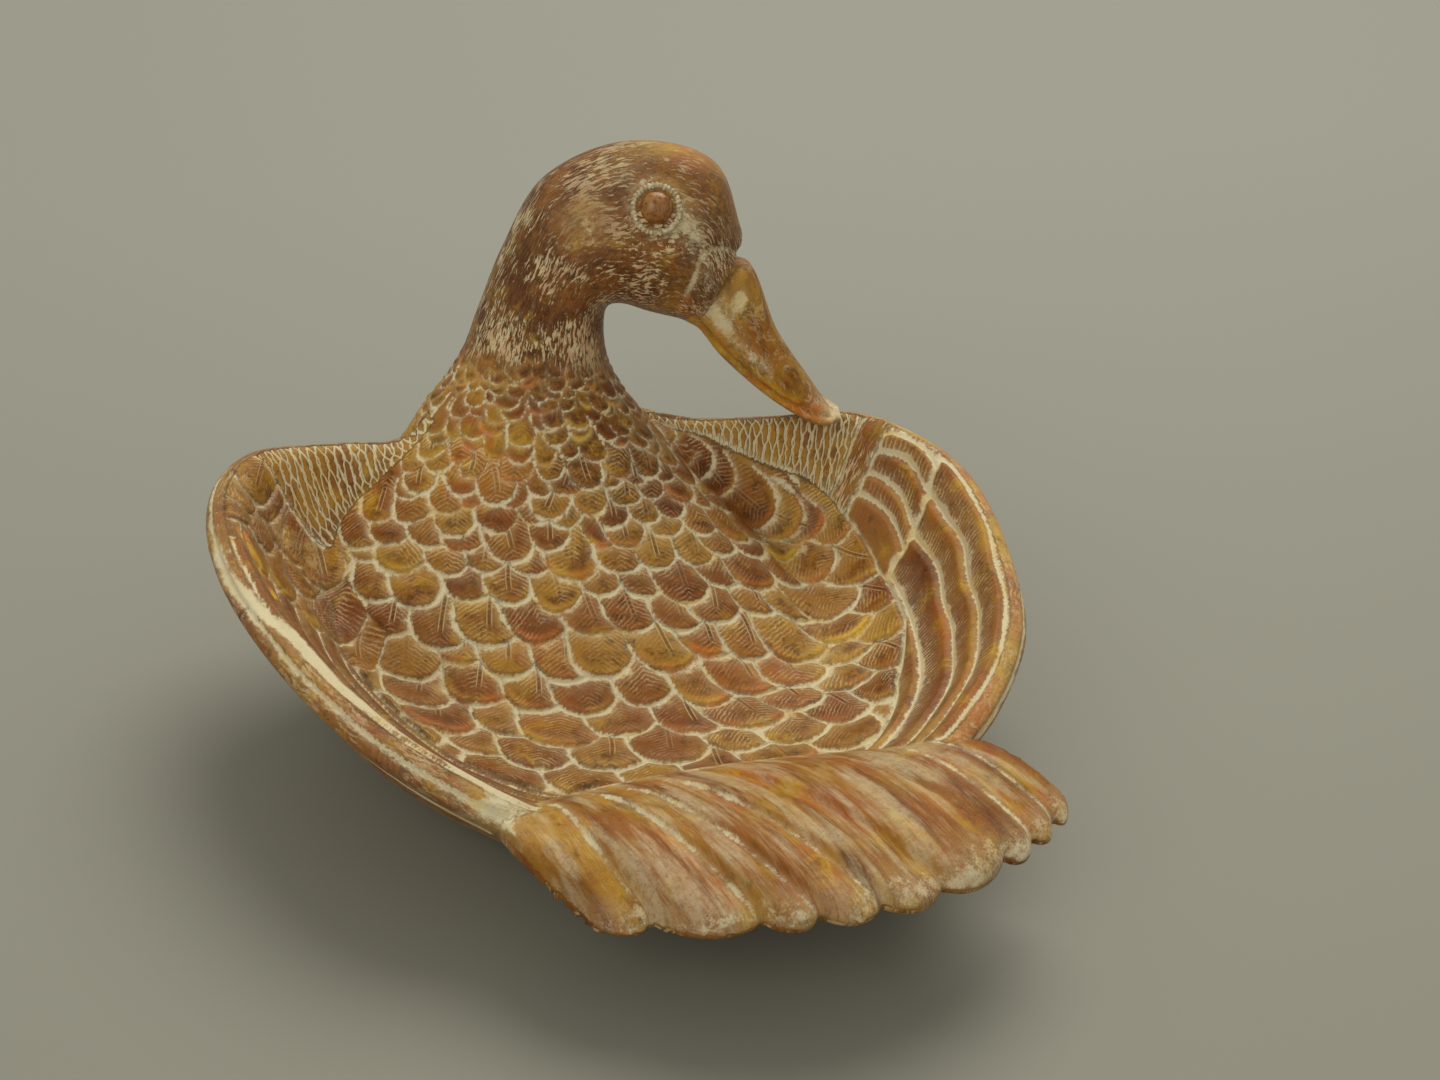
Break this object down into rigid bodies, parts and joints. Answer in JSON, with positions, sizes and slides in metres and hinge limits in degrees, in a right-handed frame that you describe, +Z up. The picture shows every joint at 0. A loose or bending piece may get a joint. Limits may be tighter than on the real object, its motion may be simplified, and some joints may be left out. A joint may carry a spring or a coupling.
{
  "type": "duck-shaped dish",
  "caption": "Low dish shaped as a resting duck, with wings as its sides, a fanned tail, and a neck turned back so that the bill lies on one wing.",
  "frame": {"origin": "on the surface that the dish stands on, below the middle of its outline", "axes": "+Z up, +Y from the tail to the breast, +X towards the wing that the bill rests on"},
  "size_m": [0.2051, 0.2197, 0.1322],
  "materials": {
    "body_paint": "cast resin, antiqued brown and ochre paint with a pale wash in the grooves, satin varnish",
    "head_paint": "cast resin, brown paint with pale brushed strokes, satin varnish",
    "dowel": "plain turned hardwood",
    "eye": "domed bead, brown, glossy",
    "felt": "dark felt"
  },
  "bodies": {
    "root": {"bowl": "body_paint", "head_and_neck": "head_paint", "neck_dowel": "dowel", "right_eye": "eye", "left_eye": "eye", "felt_pad_tail_right": "felt", "felt_pad_breast_right": "felt", "felt_pad_breast_left": "felt", "felt_pad_tail_left": "felt"}
  },
  "joints": []
}
